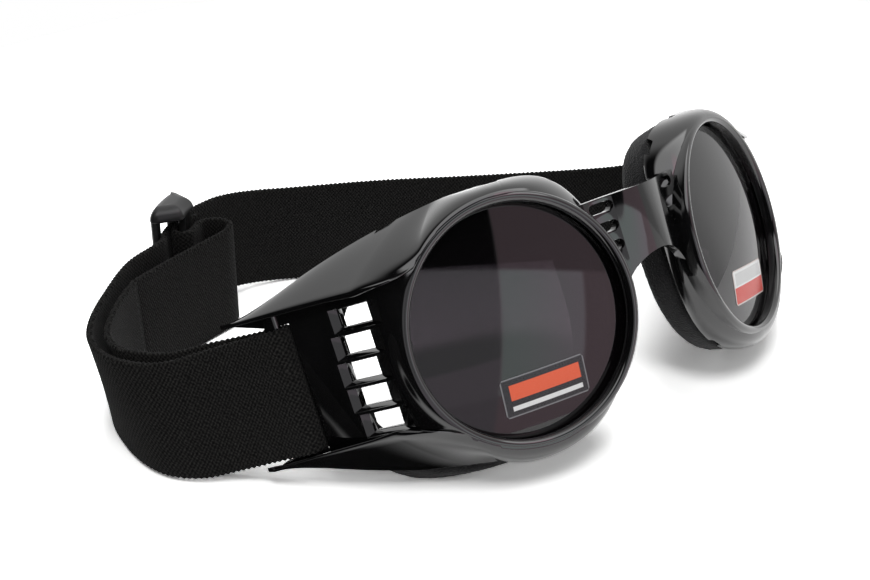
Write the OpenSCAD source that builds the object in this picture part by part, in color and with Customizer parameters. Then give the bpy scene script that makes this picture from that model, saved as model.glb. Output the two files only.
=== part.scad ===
// Wrap-around eyecup sunglasses with a one-piece moulded frame, snap-in lenses,
// foam padding and an elastic head strap, posed as they lie on a table.
// The glasses lean back on the strap; the strap stands on its lower edge.
// X is across the face, -Y is the front, Z is up, and the table is at Z = 0.

/* [Lenses] */
// Diameter of the round lens opening inside the front lip
lens_opening_d = 51; // [46:0.5:54]
// Distance between the two lens centres
lens_spacing = 75.6; // [73:0.2:80]
// Outward turn of each lens, in degrees
lens_wrap = 18.6; // [14:0.2:20]
// Thickness of the lens
lens_t = 2; // [1.6:0.1:2.4]
// Radius of the lens dome
lens_dome_r = 132; // [110:1:200]
// Depth that the lens edge reaches into its groove
lens_grip = 0.7; // [0.5:0.1:0.9]

/* [Front frame] */
// Width of the front lip round each lens opening
lip_w = 2.4; // [2:0.1:3]
// Depth of the lip ring, from its front to its back
lip_depth = 6.2; // [5.8:0.1:7]
// Depth from the front of the lip to the lens groove
groove_depth = 2.9; // [2.4:0.1:3.2]
// Wall thickness of the moulded shell
wall = 2; // [1.6:0.1:2.4]
// Lean of the glasses on the table, in degrees
lean = 26.2; // [22:0.2:28]
// Height of the lens centres above the table
eye_h = 37.8; // [37:0.1:40]

/* [Bridge] */
// Thickness of the bridge plate
bridge_t = 2.4; // [2:0.1:3]
// Height of the bridge's top edge above the lens centres
bridge_top = 19; // [18:0.2:20.5]
// Distance that the middle of the bridge stands in front of its ends
bridge_rise = 4.4; // [3.5:0.1:5.5]
// Radius of the nose arch in the lower edge
nose_arch_r = 12; // [10:0.5:13]
// Number of vent slots on each side of the bridge
bridge_slots = 3; // [2:1:3]
// Height of one vent slot
bridge_slot_h = 2.4; // [1.8:0.1:2.8]

/* [Temple arms] */
// Angle of each arm to the straight-back direction
arm_splay = 28.2; // [25:0.2:30]
// Length of the arm from the lip to the tips of its fins
arm_len = 39; // [37:0.5:44]
// Height of the top fin's outer edge above the lens centres
fin_top = 17.9; // [17.6:0.1:18.6]
// Depth of the bottom fin's outer edge below the lens centres, at the lip
fin_bottom = 14; // [13.8:0.1:15]
// Depth of the side panel behind the edges of the fins
panel_recess = 2.4; // [1.8:0.1:3]
// Number of side windows in each arm
windows = 5; // [3:1:5]
// Distance from one side window to the next
window_pitch = 5.85; // [5.6:0.05:5.9]
// Height of one side window
window_h = 4.7; // [3.6:0.1:4.8]
// Length of the through part of one side window
window_l = 7.4; // [5:0.2:8]
// Thickness of the panel round the side windows
window_rim_t = 4; // [3:0.1:4.4]
// Thickness of the fins
fin_t = 1; // [0.8:0.1:1.4]
// Thickness of the strap bar
bar_t = 3; // [2.4:0.1:3.4]

/* [Padding] */
// Thickness of the foam behind the shell
foam_t = 8; // [5:0.5:9]
// Width of the foam round each eye
foam_w = 6.5; // [5:0.5:8]
// Distance that the foam flares past the shell under the eye
foam_flare = 1; // [0.5:0.1:1]

/* [Strap] */
// Width of the elastic strap
strap_w = 28; // [25:0.5:28.2]
// Thickness of the elastic strap
strap_t = 1.5; // [1.2:0.1:1.6]

/* [Slider] */
// Length of the slider along the strap
slider_l = 15; // [13:0.5:16]
// Thickness of the slider's bars
slider_bar_t = 2.2; // [1.8:0.1:2.4]
// Height of the slider's top and bottom rails
slider_rail_h = 2; // [1.6:0.1:2.4]
// Length of the slider's slots beyond the strap's width
slot_play = 3.6; // [1:0.2:4]

/* [Hidden] */

// Gap between pieces that touch or slide on the real thing
gap = 0.3;
// Gap for the lens in its groove
lens_gap = 0.3;
// Overshoot of the cuts past the faces that they open
over = 1;
// Sides of the round features
fine = 96;
small = 24;

// Places of the origin: the middle of the whole object's box, on the table
origin_x = -7.9;
origin_y = 51.3;

lens_r = lens_opening_d / 2;
lip_r = lens_r + lip_w;
groove_r = lens_r + lens_grip + lens_gap;
cup_x = lens_spacing / 2;
cup_e1 = [cos(lens_wrap), sin(lens_wrap), 0];
cup_back = [-sin(lens_wrap), cos(lens_wrap), 0];

// The wearer's face, as a parabola in plan that the rear edges follow
face_depth = 0.5;
face_curve = 0.0063;
function face_y(x) = face_depth + face_curve * x * x;

// Arm frame: origin at the lip's temple edge, x outward, y back along the arm
arm_x0 = cup_x + lens_r + 0.2;
arm_y0 = 8.6;
arm_dir = [sin(arm_splay), cos(arm_splay), 0];
arm_out = [cos(arm_splay), -sin(arm_splay), 0];
function arm_pt(out, s, z) = [arm_x0, arm_y0, z] + out * arm_out + s * arm_dir;

fin_out = 1.2;
fin_fall = 0.057;
panel_out = fin_out - panel_recess;
bar_len = 3.4;
bar_s = 29.3;
bar_gap = 0.35;
wrap_r = bar_t / 2 + bar_gap + strap_t / 2;
bar_mid = panel_out - 0.5;
slot_end = bar_s - bar_t / 2;
slot_free = 0.25;
slot_start = slot_end - strap_t - 2 * bar_gap - slot_free;
window_front = 5.5;
window_bow = 0.0115;
window_zmid = 0.5;
window_block = [3, 18.6];

// Rear outline of the shell, seen from the front
outline_x = 40;
outline_nasal = 11;
outline_top = 29.9;
outline_bottom = 30.6;
outline_power_top = 4;
outline_power_bottom = 2.5;
function rear_top(x) = outline_top - 0.095 * (x - outline_x) - 0.0046 * pow(x - outline_x, 2);
function rear_bottom(x) = -outline_bottom + 0.2 * (x - outline_x) + 0.0034 * pow(x - outline_x, 2);

function mix(a, b, t) = a + (b - a) * t;
function unit(v) = v / norm(v);
function spow(v, p) = sign(v) * pow(abs(v), p);
function lip_pt(phi, r, d) = [cup_x, 0, 0] + r * cos(phi) * cup_e1 + [0, 0, r * sin(phi)] + d * cup_back;

// Ruled walls: each station is a list of section points, joined along the row
function grid_faces(n, m) = [
    for (i = [0:n - 2], j = [0:m - 1])
        each [[i * m + j, i * m + (j + 1) % m, (i + 1) * m + j],
              [i * m + (j + 1) % m, (i + 1) * m + (j + 1) % m, (i + 1) * m + j]]
];
// End cap, as strips between the two sides of the section
function cap(first, m, turned) = [
    for (j = [0:m / 2 - 2])
        let (a = first + j, b = a + 1, c = first + m - 2 - j, d = c + 1)
            each turned ? [[a, c, b], [a, d, c]] : [[a, b, c], [a, c, d]]
];
module sweep(stations) {
    n = len(stations);
    m = len(stations[0]);
    polyhedron(
        points = [for (st = stations) each st],
        faces = concat(grid_faces(n, m), cap(0, m, true), cap((n - 1) * m, m, false))
    );
}
module sweep_ring(stations) {
    n = len(stations);
    m = len(stations[0]);
    polyhedron(
        points = [for (st = stations) each st],
        faces = [
            for (i = [0:n - 1], j = [0:m - 1])
                let (k = (i + 1) % n, l = (j + 1) % m)
                    each [[i * m + j, i * m + l, k * m + j], [i * m + l, k * m + l, k * m + j]]
        ]
    );
}

// One station of the shell: front edge in the lip, rear edge on the face, both sides of the wall
shell_rows = 3;
shell_bulge = 1.1;
tip_edge = 0.9;
ring_embed = [1.2, 0.2];
function shell_depth(phi) = 1.4 + 3.2 * pow((1 - cos(phi)) / 2, 2);
function rear_x(phi, side) =
    side > 0 ? outline_x + (outline_x - outline_nasal) * spow(cos(phi), 2 / outline_power_top)
             : outline_x + (outline_x - outline_nasal) * spow(cos(phi), 2 / outline_power_bottom);
function rear_z(phi, side) =
    side > 0 ? outline_top * spow(sin(phi), 2 / outline_power_top)
             : outline_bottom * spow(sin(phi), 2 / outline_power_bottom);
function on_face(x, z) = [x, face_y(x), z];
// Front and rear points along the round part, phi from the top to the bottom over the nose
function round_front(phi) = lip_pt(phi, lip_r - ring_embed[1], shell_depth(phi));
function round_front_in(phi) = lip_pt(phi, lip_r - ring_embed[0], shell_depth(phi));
function round_rear(phi) = on_face(rear_x(phi, sin(phi)), rear_z(phi, sin(phi)));
function round_rear_in(phi) =
    let (p = round_rear(phi), c = [outline_x, 0, 0], k = 1 - wall / norm([p[0] - c[0], p[2]]))
        on_face(c[0] + (p[0] - c[0]) * k, p[2] * k);
function bulged(a, b, t, out) = mix(a, b, t) + out * shell_bulge * 4 * t * (1 - t);
function section(fo, ro, ri, fi, out) = concat(
    [for (k = [0:shell_rows]) bulged(fi, ri, k / shell_rows, out)],
    [for (k = [shell_rows:-1:0]) bulged(fo, ro, k / shell_rows, out)]
);
function radial(phi) = unit([cos(phi) * 0.9, 0, sin(phi)]);
function round_station(phi) =
    section(round_front(phi), round_rear(phi), round_rear_in(phi), round_front_in(phi), radial(phi));

// Stations over the temple side, from the lip's corner along a fin to its tip
fin_phi_top = asin(fin_top / lip_r);
fin_phi_bottom = asin((fin_bottom + 0.4) / lip_r);
rear_tip_x = arm_pt(fin_out, arm_len, 0)[0];
function fin_z(s, side) = side > 0 ? fin_top : -fin_bottom - fin_fall * s;
function fin_edge(t, side) = arm_pt(fin_out, mix(2, arm_len, t), fin_z(mix(2, arm_len, t), side));
function fin_rear(t, side) =
    let (x = mix(outline_x + 1, rear_tip_x, t))
        on_face(x, mix(side > 0 ? rear_top(x) : rear_bottom(x), fin_z(arm_len, side), pow(t, 6)));
function fin_station(t, side) =
    let (fo = fin_edge(t, side), ro = fin_rear(t, side) + [0, tip_edge * pow(t, 4), 0],
         drop = [0, 0, -side * mix(wall, fin_t, min(1, 3 * t))])
        section(fo, ro, ro + drop, fo + drop, [0, 0, side] * (1 - t));
// The run from the top of the lip to its corner blends the two
function corner_station(t, side) =
    let (phi = side > 0 ? mix(90, fin_phi_top, t) : -mix(90, fin_phi_bottom, t),
         x = mix(outline_x, outline_x + 1, t),
         ro = on_face(x, side > 0 ? rear_top(x) : rear_bottom(x)))
        section(round_front(phi), ro, ro - [0, 0, side * wall], round_front_in(phi), [0, 0, side]);

shell_steps = 22;
corner_steps = 6;
fin_steps = 8;
function shell_stations() = concat(
    [for (i = [fin_steps:-1:0]) fin_station(i / fin_steps, 1)],
    [for (i = [corner_steps - 1:-1:1]) corner_station(i / corner_steps, 1)],
    [for (i = [0:shell_steps]) round_station(mix(90, 270, i / shell_steps))],
    [for (i = [1:corner_steps - 1]) corner_station(i / corner_steps, -1)],
    [for (i = [0:fin_steps]) fin_station(i / fin_steps, -1)]
);

module goggle_place() {
    translate([-origin_x, -origin_y, eye_h]) rotate([-lean, 0, 0]) children();
}
module at_cup() {
    translate([cup_x, 0, 0]) rotate([0, 0, lens_wrap]) rotate([-90, 0, 0]) children();
}
module at_arm() {
    translate([arm_x0, arm_y0, 0]) rotate([0, 0, -arm_splay]) children();
}

lip_edge = 0.6;
groove_w = lens_t + 3 * lens_gap;
module lip_ring() {
    at_cup() rotate_extrude($fn = fine) polygon([
        [lens_r, lip_edge], [lens_r + lip_edge, 0.1], [lens_r + lip_w / 2, 0],
        [lip_r - lip_edge, 0.2], [lip_r, lip_edge + 0.3],
        [lip_r, lip_depth - lip_edge], [lip_r - lip_edge, lip_depth], [lens_r - lip_edge, lip_depth],
        [lens_r - lip_edge, groove_depth + groove_w], [groove_r, groove_depth + groove_w],
        [groove_r, groove_depth], [lens_r, groove_depth]
    ]);
}

// Wall between the lip and the side panel
web_steps = 10;
web_inset = 0.15;
module temple_web() {
    sweep([for (i = [0:web_steps])
        let (t = i / web_steps, phi = mix(fin_phi_top, -fin_phi_bottom, t), z = mix(fin_top - 0.8, -fin_bottom - 0.9, t))
            [lip_pt(phi, lip_r - ring_embed[1], 1.2), arm_pt(panel_out - web_inset, window_block[0] + 0.4, z),
             arm_pt(panel_out - wall + web_inset, window_block[0] + 0.4, z), lip_pt(phi, lip_r - ring_embed[0], 2.6)]]);
}

// Each window has a wide shallow recess round its through part
recess_t = 1.2;
recess_l = 12;
recess_h = 0.5;
recess_lead = 3;
function window_z(i) = window_zmid + (i - (windows - 1) / 2) * window_pitch;
function window_s(z) = window_front - window_bow * z * z;
panel_below = 1.9;
panel_above = 0.3;
// Corner piece over the strap's slot, between the panel, the bar and the top fin
corner_gap = 0.45;
corner_inset = 0.1;
module side_panel() {
    z0 = -fin_bottom - panel_below;
    h = fin_top + panel_above - z0;
    corner_z = strap_mid_z + strap_w / 2 + corner_gap;
    difference() {
        at_arm() translate([panel_out, 0, z0]) linear_extrude(height = h) polygon([
            [0, window_block[0]], [0, slot_start], [-wall, slot_start], [-wall, window_block[1]],
            [-window_rim_t, window_block[1]], [-window_rim_t, window_block[0]]
        ]);
        at_arm() for (i = [0:windows - 1]) translate([panel_out, window_s(window_z(i)), window_z(i)]) {
            translate([-recess_t, 0, -(window_h + recess_h) / 2])
                cube([recess_t + over, recess_l, window_h + recess_h]);
            translate([-window_rim_t - over, recess_lead, -window_h / 2])
                cube([window_rim_t + 2 * over, window_l, window_h]);
        }
        at_cup() translate([0, 0, -over]) cylinder(r = groove_r + lens_gap, h = lip_depth + 4 * wall, $fn = fine);
    }
    at_arm() translate([panel_out - wall + corner_inset, slot_start - over, corner_z])
        cube([wall - 2 * corner_inset, bar_s + over - slot_start, fin_top - fin_t / 2 - corner_z]);
}
bar_below = 2.4;
bar_above = 0.4;
module strap_bar() {
    z0 = -fin_bottom - bar_below;
    h = fin_top - z0 - bar_above;
    half_round = [for (i = [0:small / 2]) let (a = 180 + i * 360 / small) bar_t / 2 * [cos(a), sin(a)]];
    at_arm() translate([bar_mid, bar_s, z0]) linear_extrude(height = h)
        polygon(concat(half_round, [[bar_t / 2, bar_len - bar_t / 2], [-bar_t / 2, bar_len - bar_t / 2]]));
}

bridge_half = 15.4;
bridge_drop = 12;
arch_top = 4;
bridge_back = -4.2;
bridge_steps = 16;
slot_pitch = 4.5;
slot_top = 2.1;
slot_x = [9.4, 13];
function bridge_y(x) = bridge_back - bridge_rise * (0.5 + 0.5 * cos(180 * x / bridge_half));
function slot_outline() = [
    for (end = [0, 1], i = [0:small / 2]) let (a = 90 + 180 * end + i * 360 / small)
        [slot_x[end] + bridge_slot_h / 2 * cos(a), bridge_slot_h / 2 * sin(a)]
];
function bridge_x(i) = mix(-bridge_half, bridge_half, i / bridge_steps);
through = 60;
module bridge() {
    difference() {
        translate([0, 0, -bridge_drop]) linear_extrude(height = bridge_top + bridge_drop) polygon(concat(
            [for (i = [0:bridge_steps]) [bridge_x(i), bridge_y(bridge_x(i))]],
            [for (i = [bridge_steps:-1:0]) [bridge_x(i), bridge_y(bridge_x(i)) + bridge_t]]
        ));
        translate([0, 0, arch_top - nose_arch_r]) rotate([90, 0, 0])
            cylinder(r = nose_arch_r, h = through, center = true, $fn = fine);
        translate([-nose_arch_r, -through / 2, arch_top - nose_arch_r - through])
            cube([2 * nose_arch_r, through, through]);
        for (side = [0, 1], i = [0:bridge_slots - 1])
            mirror([side, 0, 0]) translate([0, 0, bridge_top - slot_top - i * slot_pitch]) rotate([90, 0, 0])
                linear_extrude(height = through, center = true) polygon(slot_outline());
        for (side = [0, 1]) mirror([side, 0, 0]) at_cup()
            cylinder(r = (groove_r + lip_r) / 2, h = through, center = true, $fn = fine);
    }
}

// Vent notches in the rear edge, as angles round the cup
notch_phi = [62, 96, 133, 232, 262];
notch_temple_x = 52;
notch_r = 2.1;
module vent_notches() {
    for (phi = notch_phi)
        translate(phi < 90 ? on_face(notch_temple_x, rear_top(notch_temple_x)) : round_rear(phi))
            rotate([0, 90 - phi, 0]) cylinder(r = notch_r, h = 4 * wall, center = true, $fn = small);
}

module half_frame() {
    difference() {
        union() {
            sweep(shell_stations());
            temple_web();
        }
        vent_notches();
    }
    lip_ring();
    side_panel();
    strap_bar();
}

module frame() {
    color([0.03, 0.03, 0.035]) goggle_place() {
        half_frame();
        mirror([1, 0, 0]) half_frame();
        bridge();
    }
}

// Meniscus lens: a domed disc with an edge that sits in the groove
module lens() {
    edge_r = lens_r + lens_grip;
    dome_c = groove_depth + 1.5 * lens_gap + sqrt(lens_dome_r * lens_dome_r - edge_r * edge_r);
    at_cup() intersection() {
        cylinder(r = edge_r, h = groove_depth + groove_w, $fn = fine);
        translate([0, 0, dome_c]) difference() {
            sphere(r = lens_dome_r, $fn = fine);
            sphere(r = lens_dome_r - lens_t, $fn = fine);
        }
    }
}
module lens_left() {
    color([0.12, 0.11, 0.14]) goggle_place() lens();
}
module lens_right() {
    color([0.12, 0.11, 0.14]) goggle_place() mirror([1, 0, 0]) lens();
}

// Foam ring behind the shell's rear edge
foam_steps = 40;
foam_temple = 29.5;
foam_power_temple = 2.3;
foam_inset = 0.4;
foam_corner = [1, 1.8];
function foam_half(phi) = cos(phi) < 0 ? outline_x - outline_nasal : foam_temple;
// Flare past the shell by the angle round the eye: temple, top, nose, below the nose, below the temple
function flare(phi) = lookup(phi, [[0, -1], [90, -2.2], [180, 0.8], [245, -0.4], [300, foam_flare], [360, -1]]);
function foam_power(phi) =
    sin(phi) < 0 ? outline_power_bottom : cos(phi) > 0 ? foam_power_temple : outline_power_top;
function foam_pt(phi, grow, back) =
    let (p = foam_power(phi),
         zr = sin(phi) > 0 ? outline_top : outline_bottom,
         x = outline_x + (foam_half(phi) + grow) * spow(cos(phi), 2 / p))
        [x, face_y(x) + gap + back * foam_t, (zr + grow) * spow(sin(phi), 2 / p)];
function foam_station(phi) = [
    foam_pt(phi, -foam_inset, 0), foam_pt(phi, flare(phi) * 0.6, 0.45), foam_pt(phi, flare(phi), 0.8),
    foam_pt(phi, flare(phi) - foam_corner[0], 1), foam_pt(phi, -foam_w + foam_corner[1], 1),
    foam_pt(phi, -foam_w, 0.7),
    foam_pt(phi, -foam_w, 0)
];
module foam_ring() {
    sweep_ring([for (i = [0:foam_steps - 1]) foam_station(360 - i * 360 / foam_steps)]);
}
module padding_left() {
    color([0.13, 0.13, 0.13]) goggle_place() foam_ring();
}
module padding_right() {
    color([0.13, 0.13, 0.13]) goggle_place() mirror([1, 0, 0]) foam_ring();
}

// The strap as it lies: pairs of bottom and top edge points
strap_mid_z = -0.1;
slider_arc_c = [-33.5, 76.5];
slider_arc_r = 39.5;
slider_phi = 125;
slider_lift = slider_rail_h + gap;

function lean_pt(p) =
    [p[0], p[1] * cos(lean) + p[2] * sin(lean), eye_h - p[1] * sin(lean) + p[2] * cos(lean)];
function lug_pair(side, out, s) = [
    for (z = [-strap_w / 2, strap_w / 2])
        let (p = lean_pt(arm_pt(out, s, strap_mid_z + z))) [side * p[0], p[1], p[2]]
];
function lug_wrap(side) = [
    for (a = [0:36:180]) lug_pair(side, bar_mid + wrap_r * cos(a), bar_s - wrap_r * sin(a))
];
function flat_pair(x, y, z) = [[x, y, z], [x, y, z + strap_w]];
function edge_pair(bx, by, bz, tx, ty) = [[bx, by, bz], [tx, ty, bz + strap_w]];
function arc_pair(phi, r, lift) =
    flat_pair(slider_arc_c[0] + r * cos(phi), slider_arc_c[1] + r * sin(phi), lift);

// Sewn end outside the far bar, round it, and along the back to the slider's arc
far_end = [[-0.75, 41], [-0.1, 37], [0.55, 33.5]];
far_inner = [[-4.2, 33], [-3.6, 37], [-2.7, 41.5], [-2.6, 46]];
back_run = [
    edge_pair(85.6, 44.2, 1.4, 86.2, 52), edge_pair(86.4, 51, 0.4, 85.6, 56), edge_pair(82.6, 57, 0, 81, 59.6),
    flat_pair(74.5, 58.6, 0), flat_pair(65, 60, 0), flat_pair(50, 69, 0), flat_pair(28, 84, 0), flat_pair(6, 99.6, 0)
];
arc_run = [
    for (v = [[62, 0.1], [72, 0.3], [80, 0.55], [88, 0.82], [96, 1], [104, 1], [112, 1], [122, 1], [132, 1], [140, 0.95]])
        arc_pair(v[0], slider_arc_r, v[1] * slider_lift)
];
bend_outer = [
    edge_pair(-75.6, 96.6, 2, -76, 97), edge_pair(-86.6, 88.6, 0.4, -87.4, 89.2), edge_pair(-94, 79, 0, -96, 81),
    edge_pair(-97.6, 67, 0, -101, 73.5), edge_pair(-98.6, 57, 0, -102.2, 65.5), edge_pair(-97, 49.5, 0, -99.6, 58.4),
    edge_pair(-92.5, 43.2, 0.3, -94.6, 53.6), edge_pair(-87.2, 37.2, 2.4, -88, 49.4)
];
bend_inner = [
    edge_pair(-84.2, 39.6, 2.2, -85, 52), edge_pair(-89.2, 45.6, 0.4, -91, 56), edge_pair(-93, 51.5, 0, -95.4, 60.6),
    edge_pair(-94.6, 58, 0, -98.2, 66.4), edge_pair(-93.6, 66, 0, -97, 73), edge_pair(-90.2, 76, 0, -92.2, 79),
    edge_pair(-84.6, 84.6, 0, -85.6, 85.4)
];
crease = edge_pair(-77.6, 90.8, 0, -78.4, 91.2);
tail_loop = [
    edge_pair(-77.2, 91, 0, -78, 91.4), flat_pair(-68, 94.4, 0), flat_pair(-58.5, 97, 0), flat_pair(-50.5, 98.6, 0.3),
    flat_pair(-45.4, 99.6, 0.7), flat_pair(-42.8, 101.4, 1.1), flat_pair(-43, 103.8, 1.6), flat_pair(-45.6, 105, 2.2)
];

// Catmull-Rom curve through the pairs, several stations to each
function spline_pt(a, b, c, d, t) =
    0.5 * (2 * b + (c - a) * t + (2 * a - 5 * b + 4 * c - d) * t * t + (3 * b - a - 3 * c + d) * t * t * t);
function clamp_i(i, n) = max(0, min(n - 1, i));
function smooth_run(pairs, sub) =
    let (n = len(pairs)) concat(
        [for (i = [0:n - 2], k = [0:sub - 1])
            [for (e = [0, 1]) spline_pt(pairs[clamp_i(i - 1, n)][e], pairs[i][e], pairs[i + 1][e],
                                        pairs[clamp_i(i + 2, n)][e], k / sub)]],
        [pairs[n - 1]]);
function on_table(p) = [p[0], p[1], max(p[2], 0)];
function ribbon_station(run, i) =
    let (n = len(run), a = run[clamp_i(i - 1, n)], b = run[clamp_i(i + 1, n)], p = run[i],
         along = unit((b[0] + b[1]) - (a[0] + a[1])), up = unit(p[1] - p[0]),
         side = unit(cross(along, up)) * strap_t / 2)
        [on_table(p[0] - side), on_table(p[0] + side), p[1] + side, p[1] - side];
module ribbon(pairs, sub) {
    run = smooth_run(pairs, sub);
    sweep([for (i = [0:len(run) - 1]) ribbon_station(run, i)]);
}

strap_pairs = concat(
    [for (v = far_end) lug_pair(1, v[0], v[1])],
    lug_wrap(1),
    [for (v = far_inner) lug_pair(1, v[0], v[1])],
    back_run, arc_run, bend_outer,
    [lug_pair(-1, bar_mid + wrap_r, 36), lug_pair(-1, bar_mid + wrap_r, 32)],
    lug_wrap(-1),
    [lug_pair(-1, bar_mid - wrap_r, 32), lug_pair(-1, bar_mid - wrap_r, 36)],
    bend_inner, [crease]
);
module strap() {
    color([0.09, 0.09, 0.09]) translate([-origin_x, -origin_y, 0]) ribbon(strap_pairs, 2);
}

// The slider's centre bar sits inside the strap, with the sewn end round it
tail_gap = 0.45;
wrap_out_r = slider_arc_r - strap_t - gap;
centre_bar = [wrap_out_r - strap_t / 2 - tail_gap - slider_bar_t, wrap_out_r - strap_t / 2 - tail_gap];
wrap_in_r = centre_bar[0] - tail_gap - strap_t / 2;
centre_bar_l = 4;
centre_bar_a = centre_bar_l / slider_arc_r * 180 / PI;
wrap_phi = (centre_bar_l / 2 + 0.4) / wrap_out_r * 180 / PI;
tail_wrap = [
    arc_pair(slider_phi - 7, wrap_in_r, slider_lift), arc_pair(slider_phi, wrap_in_r, slider_lift),
    arc_pair(slider_phi + wrap_phi + 1, wrap_in_r + 0.3, slider_lift),
    arc_pair(slider_phi + wrap_phi + 3, (wrap_in_r + wrap_out_r) / 2, slider_lift),
    arc_pair(slider_phi + wrap_phi + 1, wrap_out_r - 0.3, slider_lift),
    arc_pair(slider_phi, wrap_out_r, slider_lift), arc_pair(slider_phi - 7, wrap_out_r - 0.6, slider_lift),
    arc_pair(slider_phi - 13, wrap_out_r - 1.6, slider_lift)
];
module strap_tail() {
    color([0.1, 0.1, 0.1]) translate([-origin_x, -origin_y, 0])
        ribbon(concat(tail_loop, tail_wrap), 2);
}

// Slider: two end bars outside the strap, a centre bar inside it, and two rails
slider_outer_r = slider_arc_r + strap_t / 2 + gap + slider_bar_t;
slider_a = slider_l / slider_arc_r * 180 / PI;
rail_steps = 24;
rail_end_round = 1;
rail_flat = 0.3;
// Points of the slider in plan, t from -1 at one end to 1 at the other
function slider_pt(t, r) = r * [cos(slider_phi + t * slider_a / 2), sin(slider_phi + t * slider_a / 2)];
function rail_out(t) = slider_outer_r - rail_end_round * pow(abs(t), 8);
function rail_in(t) =
    mix(slider_outer_r - slider_bar_t - gap, centre_bar[0], pow(cos(90 * max(0, (abs(t) - rail_flat) / (1 - rail_flat))), 1.5));
function rail_t(i) = mix(-1, 1, i / rail_steps);
// The bars stand a little inside the rails' outline and end in the middle of the rails
bar_inset = 0.1;
end_bar = [0.52, 0.94];
end_bar_steps = 5;
function end_bar_t(i) = mix(end_bar[0], end_bar[1], i / end_bar_steps);
module slider() {
    full_h = strap_w + slot_play + 2 * slider_rail_h;
    color([0.16, 0.16, 0.17]) translate([slider_arc_c[0] - origin_x, slider_arc_c[1] - origin_y, 0]) {
        for (z = [0, full_h - slider_rail_h])
            translate([0, 0, z]) linear_extrude(height = slider_rail_h) polygon(concat(
                [for (i = [0:rail_steps]) slider_pt(rail_t(i), rail_out(rail_t(i)))],
                [for (i = [rail_steps:-1:0]) slider_pt(rail_t(i), rail_in(rail_t(i)))]
            ));
        for (side = [-1, 1])
            translate([0, 0, slider_rail_h / 2]) linear_extrude(height = full_h - slider_rail_h) polygon(concat(
                [for (i = [0:end_bar_steps]) slider_pt(side * end_bar_t(i), rail_out(end_bar_t(i)) - bar_inset)],
                [for (i = [end_bar_steps:-1:0]) slider_pt(side * end_bar_t(i), slider_outer_r - slider_bar_t)]
            ));
        rotate([0, 0, slider_phi - centre_bar_a / 2]) rotate_extrude(angle = centre_bar_a, $fn = fine * 2)
            translate([centre_bar[0] + bar_inset, slider_rail_h / 2])
                square([centre_bar[1] - centre_bar[0] - bar_inset, full_h - slider_rail_h]);
    }
}

frame();
lens_right();
lens_left();
padding_right();
padding_left();
strap();
strap_tail();
slider();
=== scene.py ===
from math import atan2, copysign, cos, degrees, hypot, pi, radians, sin, sqrt
import bmesh
import bpy
import numpy as np
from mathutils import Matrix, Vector


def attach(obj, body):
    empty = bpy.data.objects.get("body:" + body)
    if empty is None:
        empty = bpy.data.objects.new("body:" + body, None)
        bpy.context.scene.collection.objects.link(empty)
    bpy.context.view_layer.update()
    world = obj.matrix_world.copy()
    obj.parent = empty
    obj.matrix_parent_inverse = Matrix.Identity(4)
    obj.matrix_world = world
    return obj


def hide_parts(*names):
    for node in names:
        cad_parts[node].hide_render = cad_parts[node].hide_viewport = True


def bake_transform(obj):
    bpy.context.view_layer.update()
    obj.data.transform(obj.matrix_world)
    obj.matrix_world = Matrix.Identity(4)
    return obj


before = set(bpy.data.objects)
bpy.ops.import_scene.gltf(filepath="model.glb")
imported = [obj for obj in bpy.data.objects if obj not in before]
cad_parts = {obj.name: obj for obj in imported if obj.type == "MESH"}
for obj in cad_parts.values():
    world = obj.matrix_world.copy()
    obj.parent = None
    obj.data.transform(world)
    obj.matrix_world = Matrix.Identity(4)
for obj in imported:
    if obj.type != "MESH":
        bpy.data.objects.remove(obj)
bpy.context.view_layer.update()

scene = bpy.context.scene
scene.view_settings.view_transform = "Standard"
MM = 0.001
SIDES = (("left", False), ("right", True))

# Sizes of the glasses in millimetres, as the frame has them
LEAN = radians(26.2)
EYE_H = 37.8
ORIGIN = np.array([-7.9, 51.3])
LENS_R = 25.5
LIP_R = LENS_R + 2.4
LIP_DEPTH = 6.2
GROOVE = 2.9
LENS_T = 2.0
LENS_GRIP = 0.7
LENS_GAP = 0.3
LENS_EDGE = LENS_R + LENS_GRIP
DOME_R = 132.0
DOME_C = GROOVE + 1.5 * LENS_GAP + sqrt(DOME_R ** 2 - LENS_EDGE ** 2)
WALL = 2.0
CUP_X = 37.8
WRAP = radians(18.6)
ACROSS = np.array([cos(WRAP), sin(WRAP), 0.0])
BACK = np.array([-sin(WRAP), cos(WRAP), 0.0])
SPLAY = radians(28.2)
ARM_0 = np.array([CUP_X + LENS_R + 0.2, 8.6, 0.0])
ARM_ALONG = np.array([sin(SPLAY), cos(SPLAY), 0.0])
ARM_OUT = np.array([cos(SPLAY), -sin(SPLAY), 0.0])
ARM_LEN = 39.0
FIN_TOP = 17.9
FIN_BOTTOM = 14.0
FIN_FALL = 0.057
FIN_OUT = 1.2
FIN_T = 1.0
PANEL_OUT = FIN_OUT - 2.4
BAR_T = 3.0
BAR_S = 29.3
BAR_MID = PANEL_OUT - 0.5
STRAP_W = 28.0
STRAP_T = 1.5
SLOT_START = BAR_S - BAR_T / 2 - STRAP_T - 0.95
STRAP_MID_Z = -0.1
OUT_X = 40.0
OUT_NASAL = 11.0
OUT_TOP = 29.9
OUT_BOTTOM = 30.6
GAP = 0.3


def mix(a, b, t):
    return a + (b - a) * t


def unit(v):
    return v / np.linalg.norm(v)


def raised(z):
    return np.array([0, 0, z])


def rectangle(a0, a1, b0, b1):
    return [(a0, b0), (a1, b0), (a1, b1), (a0, b1)]


def spow(v, p):
    """A power that keeps the sign, for rounded-off rectangles."""
    return copysign(abs(v) ** p, v)


def smoothstep(a, b, x):
    t = np.clip((x - a) / (b - a), 0, 1)
    return t * t * (3 - 2 * t)


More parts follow.
